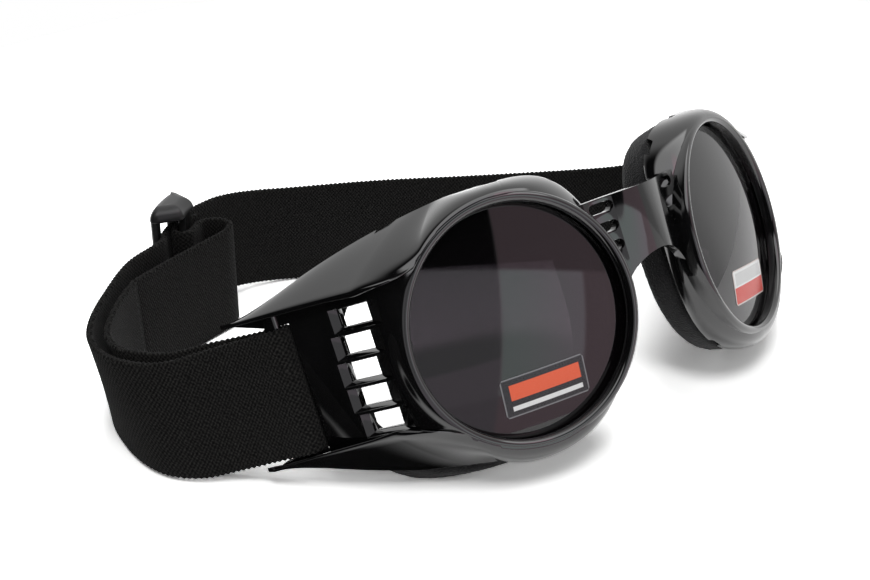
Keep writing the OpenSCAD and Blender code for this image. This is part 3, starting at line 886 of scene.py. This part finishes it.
def foam_flare(deg):
    return float(np.interp(deg % 360, [0, 90, 180, 245, 300, 360], [-1, -2.2, 0.8, -0.4, 1.0, -1]))


def foam_pt(phi, grow, back):
    c, s = cos(phi), sin(phi)
    p = 2.5 if s < 0 else 2.3 if c > 0 else 4.0
    h = OUT_TOP if s > 0 else OUT_BOTTOM
    half = OUT_X - OUT_NASAL if c < 0 else FOAM_TEMPLE
    x = OUT_X + (half + grow) * spow(c, 2 / p)
    return np.array([x, face_y(x) + GAP + back * FOAM_T, (h + grow) * spow(s, 2 / p)])


def foam_ring(name, flip, steps=180):
    rows = []
    for i in range(steps):
        phi = 2 * pi * (i + 0.5) / steps
        f = foam_flare(degrees(phi))
        inner = -mix(FOAM_W, FOAM_TEMPLE_W, float(smoothstep(0.5, 0.95, cos(phi))))
        key = [(-0.4, 0), (f * 0.6, 0.45), (f, 0.8), (f - 1, 1), (inner + 1.8, 1), (inner, 0.7), (inner, 0)]
        rows.append([foam_pt(phi, mix(a[0], b[0], t), mix(a[1], b[1], t))
                     for a, b in zip(key, key[1:] + key[:1]) for t in (0.12, 0.5, 0.88)])
    # The open cells leave the surface a little uneven
    rows = np.array(rows)
    rows += np.random.default_rng(7).normal(0, FOAM_UNEVEN, rows.shape)
    return leaned_piece(name, rows, flip, sharp=70, closed_run=True)


for side, flip in SIDES:
    obj = assign(foam_ring("foam_" + side, flip), foam_black)
    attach(obj, "goggles")
    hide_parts("padding_" + side)


# The strap, from the same places as its solid

ARC_C = np.array([-33.5, 76.5])
ARC_R = 39.5
SLIDER_PHI = 125.0
RAIL_H = 2.0
LIFT = RAIL_H + GAP
WRAP_R = BAR_T / 2 + 0.35 + STRAP_T / 2
LUG_OUT = BAR_MID + WRAP_R
LUG_IN = BAR_MID - WRAP_R
RIB_PITCH = 1.25
EDGE_BAND = 0.6
TAIL_GAP = 0.45
BAR_SLIDER = 2.2
WRAP_OUT = ARC_R - STRAP_T - GAP
CENTRE_OUT = WRAP_OUT - STRAP_T / 2 - TAIL_GAP
CENTRE_IN = CENTRE_OUT - BAR_SLIDER
WRAP_IN = CENTRE_IN - TAIL_GAP - STRAP_T / 2
WRAP_END = SLIDER_PHI + degrees(2.4 / WRAP_OUT)


def lug_pair(side, out, s):
    """Foot and top edge of the strap at a place given in the arm's own directions."""
    pair = leaned([arm_pt(out, s, STRAP_MID_Z + z) for z in (-STRAP_W / 2, STRAP_W / 2)])
    pair[:, :2] += ORIGIN
    return pair * (side, 1, 1)


def lug_wrap(side):
    turns = [radians(a) for a in range(0, 181, 36)]
    return [lug_pair(side, BAR_MID + WRAP_R * cos(a), BAR_S - WRAP_R * sin(a)) for a in turns]


def edges(places):
    """Foot and top edge of the strap: x, y, z of its foot, and x, y of its top where it leans."""
    return [[[x, y, z], [*(top or (x, y)), z + STRAP_W]] for x, y, z, *top in places]


def arc_pair(deg, r, lift):
    a = radians(deg)
    return edges([(ARC_C[0] + r * cos(a), ARC_C[1] + r * sin(a), lift)])[0]


far_end = [(-0.75, 41), (-0.1, 37), (0.55, 33.5)]
far_inner = [(-4.2, 33), (-3.6, 37), (-2.7, 41.5), (-2.6, 46)]
back_run = edges([
    (85.6, 44.2, 1.4, 86.2, 52), (86.4, 51, 0.4, 85.6, 56), (82.6, 57, 0, 81, 59.6),
    (74.5, 58.6, 0), (65, 60, 0), (50, 69, 0), (28, 84, 0), (6, 99.6, 0)])
arc_run = [arc_pair(a, ARC_R, k * LIFT) for a, k in (
    (62, 0.1), (72, 0.3), (80, 0.55), (88, 0.82), (96, 1),
    (104, 1), (112, 1), (122, 1), (132, 1), (140, 0.95))]
bend_outer = edges([
    (-75.6, 96.6, 2, -76, 97), (-86.6, 88.6, 0.4, -87.4, 89.2), (-94, 79, 0, -96, 81),
    (-97.6, 67, 0, -101, 73.5), (-98.6, 57, 0, -102.2, 65.5), (-97, 49.5, 0, -99.6, 58.4),
    (-92.5, 43.2, 0.3, -94.6, 53.6), (-87.2, 37.2, 2.4, -88, 49.4)])
bend_inner = edges([
    (-84.2, 39.6, 2.2, -85, 52), (-89.2, 45.6, 0.4, -91, 56), (-93, 51.5, 0, -95.4, 60.6),
    (-94.6, 58, 0, -98.2, 66.4), (-93.6, 66, 0, -97, 73), (-90.2, 76, 0, -92.2, 79),
    (-84.6, 84.6, 0, -85.6, 85.4)])
crease = edges([(-77.6, 90.8, 0, -78.4, 91.2)])
strap_pairs = (
    [lug_pair(1, *v) for v in far_end] + lug_wrap(1) + [lug_pair(1, *v) for v in far_inner] + back_run
    + arc_run + bend_outer + [lug_pair(-1, LUG_OUT, 36), lug_pair(-1, LUG_OUT, 32)] + lug_wrap(-1)
    + [lug_pair(-1, LUG_IN, 32), lug_pair(-1, LUG_IN, 36)] + bend_inner + crease)
tail_loop = edges([
    (-77.2, 91, 0, -78, 91.4), (-68, 94.4, 0), (-58.5, 97, 0), (-50.5, 98.6, 0.3), (-45.4, 99.6, 0.7),
    (-42.8, 101.4, 1.1), (-43, 103.8, 1.6), (-45.6, 105, 2.2)])
tail_wrap = [arc_pair(deg, r, LIFT) for deg, r in (
    (SLIDER_PHI - 7, WRAP_IN), (SLIDER_PHI, WRAP_IN), (WRAP_END + 1, WRAP_IN + 0.3),
    (WRAP_END + 3, (WRAP_IN + WRAP_OUT) / 2), (WRAP_END + 1, WRAP_OUT - 0.3),
    (SLIDER_PHI, WRAP_OUT), (SLIDER_PHI - 7, WRAP_OUT - 0.6), (SLIDER_PHI - 13, WRAP_OUT - 1.6))]


def smooth_run(pairs, sub=12):
    """A smooth run through the pairs, with this many steps from one to the next."""
    p = np.array(pairs, float)
    n = len(p)
    out = []
    for i in range(n - 1):
        a, b, c, d = p[max(i - 1, 0)], p[i], p[i + 1], p[min(i + 2, n - 1)]
        for t in (k / sub for k in range(sub)):
            out.append(0.5 * (2 * b + (c - a) * t + (2 * a - 5 * b + 4 * c - d) * t * t
                              + (3 * b - a - 3 * c + d) * t ** 3))
    return np.array(out + [p[-1]])


def strap_section():
    """Places across and through the strap, flat with rounded edges."""
    hw, ht = STRAP_W / 2, STRAP_T / 2
    across = list(np.linspace(-hw + 0.5, hw - 0.5, 15))
    edge = ((0.22, 0.86), (0, 0.35), (0, -0.35), (0.22, -0.86))
    return ([(w, ht) for w in across] + [(hw - a, ht * b) for a, b in edge]
            + [(w, -ht) for w in across[::-1]] + [(a - hw, -ht * b) for a, b in edge])


def edge_share(w):
    """0 over the flat of the strap, up to 1 on its two edges, with the edge's sign."""
    return copysign(max(0.0, (abs(w) - STRAP_W / 2 + EDGE_BAND) / EDGE_BAND), w)


def ribbon(name, pairs):
    """A length of elastic through the pairs, and how long it is."""
    run = smooth_run(pairs)
    # Even steps along the strap, four to a rib
    length = np.concatenate([[0], np.cumsum(np.linalg.norm(np.diff(run.mean(1), axis=0), axis=1))])
    even = np.linspace(0, length[-1], 4 * int(length[-1] / RIB_PITCH) + 1)
    run = np.stack([[np.interp(even, length, run[:, e, k]) for k in range(3)] for e in (0, 1)])
    run = run.transpose(2, 0, 1)
    section = strap_section()
    rows, uvs = [], []
    n = len(run)
    for i in range(n):
        along = unit(run[min(i + 1, n - 1)].mean(0) - run[max(i - 1, 0)].mean(0))
        up = unit(run[i][1] - run[i][0])
        side = unit(np.cross(along, up))
        # The elastic's ribs stand out along both edges
        rib = cos(pi / 2 * i)
        row = [run[i].mean(0) + up * (w + edge_share(w) * 0.17 * rib)
               + side * h * (1 + abs(edge_share(w)) * 0.16 * rib) for w, h in section]
        for q in row:
            q[2] = max(q[2], 0.0)
        rows.append(row)
        uvs.append([(even[i], w + (40 if h < 0 else 0)) for w, h in section])
    verts, faces = loft(laid(rows), closed_ring=True)
    return assign(mapped_piece(name, verts, faces, "strap_mm", uvs, 60), elastic), length[-1]


strap, strap_length = ribbon("head_strap", strap_pairs)
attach(strap, "goggles")
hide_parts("strap")

tail, tail_length = ribbon("strap_sewn_end", tail_loop + tail_wrap)


# Slider: two end bars outside the strap, a centre bar inside it, and two rails

SLIDER_L = 15.0
SLIDER_A = degrees(SLIDER_L / ARC_R)
SLIDER_OUTER = ARC_R + STRAP_T / 2 + GAP + BAR_SLIDER
SLIDER_H = STRAP_W + 3.6 + 2 * RAIL_H
RAIL_ROUND = 1.6
CROWN = 1.5
CENTRE_L = 4.0
BAR_FROM = RAIL_H / 2
BAR_TO = SLIDER_H - RAIL_H / 2


def slider_pt(t, r, z):
    """A point at the share t of the slider's half-length from its middle, and at the radius r of the arc."""
    a = radians(SLIDER_PHI + t * SLIDER_A / 2)
    return (ARC_C[0] + r * cos(a), ARC_C[1] + r * sin(a), z)


def rail_out(t):
    return SLIDER_OUTER - abs(t) ** 8


def rail_in(t):
    reach = cos(pi / 2 * max(0.0, abs(t) - 0.5) / 0.5)
    return mix(SLIDER_OUTER - BAR_SLIDER - GAP, CENTRE_IN, reach)


def rail(z_strap, z_end, turn):
    """A crescent rail, rounded towards its free side by the radius turn."""
    ts = np.linspace(-1, 1, 61)
    up = 1 if z_end > z_strap else -1
    high = abs(z_end - z_strap)
    quarter = np.linspace(0, pi / 2, 12)
    rows = []
    for inset, drop in [(0.25, high), (0.0, high - 0.25)] + [
            (turn * (1 - cos(a)), turn * (1 - sin(a))) for a in quarter]:
        z, k = z_end - up * drop, 1 - inset / (SLIDER_L / 2)
        # The thin ends take a smaller radius
        insets = [inset * min(1.0, (rail_out(t) - rail_in(t) - 0.1) / 2 / turn) for t in ts]
        rows.append([slider_pt(t * k, rail_out(t) - i, z) for t, i in zip(ts, insets)]
                    + [slider_pt(t * k, rail_in(t) + i, z) for t, i in zip(ts[::-1], insets[::-1])])
    return laid_piece("rail", rows, 50)


def end_bar(side):
    ts = np.linspace(0.52, 0.94, 5)
    plan = [slider_pt(side * t, rail_out(t) - 0.1, 0)[:2] for t in ts]
    plan += [slider_pt(side * t, SLIDER_OUTER - BAR_SLIDER, 0)[:2] for t in ts[::-1]]
    return rounded(laid_piece("bar", [[(x, y, z) for x, y in plan] for z in (BAR_FROM, BAR_TO)]), 0.4, 3, 50)


def centre_bar():
    half = CENTRE_L / SLIDER_L
    section = rectangle(CENTRE_IN + 0.1, CENTRE_OUT, BAR_FROM, BAR_TO)
    rows = [[slider_pt(t, r, z) for r, z in section] for t in np.linspace(-half, half, 4)]
    return rounded(laid_piece("bar", rows), 0.4, 3, 50)


def slider(name):
    base = rail(RAIL_H, 0.0, RAIL_ROUND)
    crown = rail(SLIDER_H - RAIL_H, SLIDER_H + CROWN, RAIL_ROUND + CROWN)
    combined(base, [crown, end_bar(-1), end_bar(1), centre_bar()], "UNION")
    base.name = name
    return smoothed(pointed_outwards(base), 50)


slider_piece = assign(slider("strap_adjuster"), slider_black)
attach(slider_piece, "strap_slider")
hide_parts("slider")


# Stitches through the strap, beside the sewn end's crease

STITCH_INPUTS = {"First": "Vector", "Pitch": "Vector", "Count": "Int", "Thread": "Vector", "Turn": "Vector",
                 "Unevenness": "Float", "Seed": "Int", "Material": "Material"}
STITCHES = 13
SEAM_OUT = (0.66, -0.75)


def stitch_tree():
    """A row of short threads, each one a little out of line."""
    tree = bpy.data.node_groups.new("stitch_row", "GeometryNodeTree")
    tree.interface.new_socket("Geometry", in_out="INPUT", socket_type="NodeSocketGeometry")
    for label, kind in STITCH_INPUTS.items():
        tree.interface.new_socket(label, in_out="INPUT", socket_type="NodeSocket" + kind)
    tree.interface.new_socket("Geometry", in_out="OUTPUT", socket_type="NodeSocketGeometry")
    given = tree.nodes.new("NodeGroupInput").outputs
    line = node(tree, "GeometryNodeMeshLine", {"Count": given["Count"], "Start Location": given["First"],
                                               "Offset": given["Pitch"]}, mode="OFFSET")
    bead = node(tree, "GeometryNodeMeshUVSphere", {"Segments": 10, "Rings": 6, "Radius": 1.0})
    turns = {0: given["Turn"], 1: given["Unevenness"]}
    low, high = (node(tree, "ShaderNodeVectorMath", turns, operation=o) for o in ("SUBTRACT", "ADD"))
    spread = node(tree, "FunctionNodeRandomValue", {0: low.outputs[0], 1: high.outputs[0],
                                                    "Seed": given["Seed"]}, data_type="FLOAT_VECTOR")
    turn = node(tree, "FunctionNodeEulerToRotation", {0: spread.outputs[0]})
    row = node(tree, "GeometryNodeInstanceOnPoints", {
        "Points": line.outputs["Mesh"], "Instance": bead.outputs["Mesh"], "Rotation": turn.outputs[0],
        "Scale": given["Thread"]})
    real = node(tree, "GeometryNodeRealizeInstances", {"Geometry": row.outputs["Instances"]})
    paint = node(tree, "GeometryNodeSetMaterial", {"Geometry": real.outputs["Geometry"],
                                                   "Material": given["Material"]})
    feed(tree, tree.nodes.new("NodeGroupOutput"), {"Geometry": paint.outputs["Geometry"]})
    return tree


def thread_material():
    mat, nt, bsdf = new_material("sewing_thread")
    twist = noise(nt, object_place(nt), 1500.0)
    feed(nt, bsdf, {"Base Color": colour_mix(nt, twist, (0.006, 0.006, 0.006), (0.05, 0.05, 0.048)),
                    "Roughness": 0.6})
    return mat


stitch_row = stitch_tree()
thread = thread_material()


def seam(name, foot, top):
    """A row of stitches through the strap, from its foot edge to its top edge."""
    foot, top = np.array(foot, float), np.array(top, float)
    obj = placed(name, bpy.data.meshes.new(name))
    m = obj.modifiers.new("stitches", "NODES")
    m.node_group = stitch_row
    step = (top - foot) / (STITCHES - 1)
    thread_size = np.array([(STRAP_T + 0.36) / 2, 0.16, np.linalg.norm(step) * 0.4])
    values = {"First": (laid(foot) * MM).tolist(), "Pitch": (step * MM).tolist(), "Count": STITCHES,
              "Thread": (thread_size * MM).tolist(), "Turn": [0.0, 0.0, atan2(SEAM_OUT[1], SEAM_OUT[0])],
              "Unevenness": 0.05, "Seed": 11, "Material": thread}
    for item in stitch_row.interface.items_tree:
        if item.name in values:
            m[item.identifier] = values[item.name]
    apply_modifiers(obj)
    obj.data.shade_smooth()
    return obj


for name, foot, top in (("seam_before", (-79.0, 89.55, 1.6), (-79.75, 89.95, 26.6)),
                        ("seam_after", (-75.9, 91.5, 1.6), (-76.65, 91.9, 26.6))):
    obj = seam(name, foot, top)
    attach(obj, "goggles")

tail_from = laid([-76.0, 91.4, 14.0]) * MM
tail_to = laid([-46.5, 99.4, 14.0]) * MM
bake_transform(tail)
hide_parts("strap_tail")


# Camera, as in the photograph

PHOTO_W = 870
FOCAL_PX = 1400


def aimed(obj, ahead):
    obj.rotation_euler = ahead.to_track_quat("-Z", "Y").to_euler()


yaw, pitch = radians(42.893), radians(26.681)
camera_data = bpy.data.cameras.new("camera")
camera_data.lens = FOCAL_PX / PHOTO_W * camera_data.sensor_width
camera_data.clip_start = 0.01
camera = placed("camera", camera_data)
camera.location = Vector((-223.54, -231.73, 177.73)) * MM
aimed(camera, Vector((sin(yaw) * cos(pitch), cos(yaw) * cos(pitch), -sin(pitch))))
scene.camera = camera


# Floor, backdrop and lights

TABLE_R = 290.0
TABLE_AT = (95.0, 40.0)
TABLE_GAIN = 2.1
MIRRORED_GAIN = 1.3
AMBIENT = 0.27
BACKDROP = 0.9
DIM_ROOM = 0.01
OVERHEAD_PANEL = 2.0


def straight_rays(nt, lp):
    """Rays that look at a surface itself, or through a lens."""
    return math_node(nt, "MAXIMUM", lp["Is Camera Ray"], lp["Is Transmission Ray"])


def table_material():
    """A table that looks white to the camera and in mirrors, and keeps the shadows."""
    mat, nt, bsdf = new_material("white_table")
    place = object_place(nt)
    grain = noise(nt, place, 40.0)
    lp = node(nt, "ShaderNodeLightPath").outputs
    mirrored_ray = lp["Is Glossy Ray"]
    tone = colour_mix(nt, grain, (0.90, 0.90, 0.90), (0.93, 0.93, 0.93))
    bright = colour_mix(nt, grain, tuple(TABLE_GAIN * c for c in (1, 1, 0.995)),
                        tuple(TABLE_GAIN * c for c in (1.03, 1.03, 1.025)))
    tone = colour_mix(nt, mirrored_ray, tone, (MIRRORED_GAIN,) * 3)
    tone = colour_mix(nt, straight_rays(nt, lp), tone, bright)
    # In the plastic's mirror the table's left end is painted dark, a painted reflection of a dark room, and
    # the place under the near eyecup is painted dark too, a painted shadow
    way = split(nt, place)
    # Painted reflection: mirrors see the table's left end painted near black
    painted_dark_reflection = soft_step(nt, way["X"], -0.075, -0.1)
    # Painted shadow: mirrors see the table under the near eyecup painted near black
    from_cup = [scaled(nt, way[axis], 1 / half, -middle / half)
                for axis, middle, half in (("X", -0.035, 0.06), ("Y", -0.02, 0.028))]
    squares = [math_node(nt, "POWER", math_node(nt, "ABSOLUTE", share), 2.0) for share in from_cup]
    under = soft_step(nt, math_node(nt, "ADD", *squares), 1.25, 0.75)
    # Only mirrored rays see these painted dark places
    dark = times(nt, math_node(nt, "MAXIMUM", painted_dark_reflection, under), mirrored_ray)
    feed(nt, bsdf, {"Base Color": colour_mix(nt, dark, tone, (0.01, 0.01, 0.01)), "Roughness": 0.6,
                    "Specular IOR Level": 0.2})
    return mat


def table_top(corners=96):
    """A round white table, a little off to the back, so that the temple mirrors the dark room beyond it."""
    turns = [2 * pi * i / corners for i in range(corners)]
    ring = [(TABLE_AT[0] + TABLE_R * cos(a), TABLE_AT[1] + TABLE_R * sin(a), -0.1) for a in turns]
    return new_piece("table", ring, [tuple(range(corners))])


assign(table_top(), table_material())


def studio():
    """White backdrop behind the table, and a dim room with a few pale panels on the near side of it."""
    world = bpy.data.worlds.new("studio")
    scene.world = world
    world.use_nodes = True
    nt = world.node_tree
    way = split(nt, node(nt, "ShaderNodeTexCoord").outputs["Generated"])
    towards = math_node(nt, "ADD", times(nt, way["X"], 0.68), times(nt, way["Y"], 0.73))
    backdrop = soft_step(nt, scaled(nt, way["Z"], 0.3, towards), 0.08, 0.5)

    # The near side of the room, by how far right and how high each direction lies in it
    ahead = math_node(nt, "MAXIMUM", times(nt, way["Y"], -1.0), 0.05)
    right = math_node(nt, "DIVIDE", way["X"], ahead)
    high = math_node(nt, "DIVIDE", way["Z"], ahead)
    past_edge = scaled(nt, high, -0.255, right)
    above = soft_step(nt, scaled(nt, right, 0.4, high), 0.565, 0.595)
    on_right = soft_step(nt, past_edge, -0.122, -0.1)
    window = soft_step(nt, scaled(nt, high, -0.41, right), 0.27, 0.24)
    low = soft_step(nt, high, 0.208, 0.19)
    floor_line = soft_step(nt, high, 0.06, 0.05)
    near = soft_step(nt, way["Y"], -0.3, -0.6)
    overhead = times(nt, soft_step(nt, way["Z"], 0.7, 0.76), soft_step(nt, way["Y"], -0.05, -0.2))

    # How bright each part of it is
    left_wall = level_mix(nt, floor_line, level_mix(nt, low, 0.54, 0.72), 0.62)
    left_wall = times(nt, left_wall, soft_step(nt, right, -0.75, -0.5))
    lit = times(nt, window, on_right, times(nt, opposite(nt, above), opposite(nt, floor_line)))
    wall = scaled(nt, lit, 0.62, level_mix(nt, on_right, left_wall, 0.75))
    wall = level_mix(nt, above, wall, level_mix(nt, on_right, 0.0, 0.5))
    room = scaled(nt, near, wall, DIM_ROOM)
    room = scaled(nt, backdrop, BACKDROP, room)
    room = scaled(nt, overhead, OVERHEAD_PANEL, room)

    # How the panels are tinted, in mirrors only
    right_tint = colour_mix(nt, soft_step(nt, past_edge, -0.1, 0.32), (0.9, 1.02, 1.0), (1.07, 0.95, 1.06))
    right_tint = colour_mix(nt, lit, (1.15, 0.86, 0.96), right_tint)
    left_tint = colour_mix(nt, low, (1.0, 0.99, 1.03), (1.06, 0.95, 1.06))
    tint = colour_mix(nt, on_right, left_tint, right_tint)
    lp = node(nt, "ShaderNodeLightPath").outputs
    seen = straight_rays(nt, lp)
    tinted = times(nt, lp["Is Glossy Ray"], near, opposite(nt, seen), soft_step(nt, right, 0.74, 0.62))
    level = level_mix(nt, lp["Is Glossy Ray"], AMBIENT, room)
    feed(nt, nt.nodes["Background"], {"Color": colour_mix(nt, tinted, (1.0, 1.0, 1.0), tint),
                                      "Strength": level_mix(nt, seen, level, 1.0)})


studio()

# Soft lamps, all aimed at the middle of the glasses: place, size and radiance
AIM = Vector((0, 0, 0.03))
for name, place, size, radiance in (
        ("top_light", (0.04, 0.08, 0.8), (0.26, 0.26), 13.0),
        ("camera_side_light", (-0.31, -0.36, 0.76), (0.26, 0.26), 11.5),
        ("side_light", (-0.8, -0.25, 0.5), (0.3, 0.3), 3.0),
        ("front_light", (0.22, -0.85, 0.32), (0.5, 0.4), 1.0)):
    lamp = bpy.data.lights.new(name, "AREA")
    lamp.shape = "RECTANGLE"
    lamp.size, lamp.size_y = size
    lamp.energy = radiance * pi * size[0] * size[1]
    obj = placed(name, lamp)
    obj.location = place
    aimed(obj, AIM - Vector(place))
    obj.visible_glossy = False
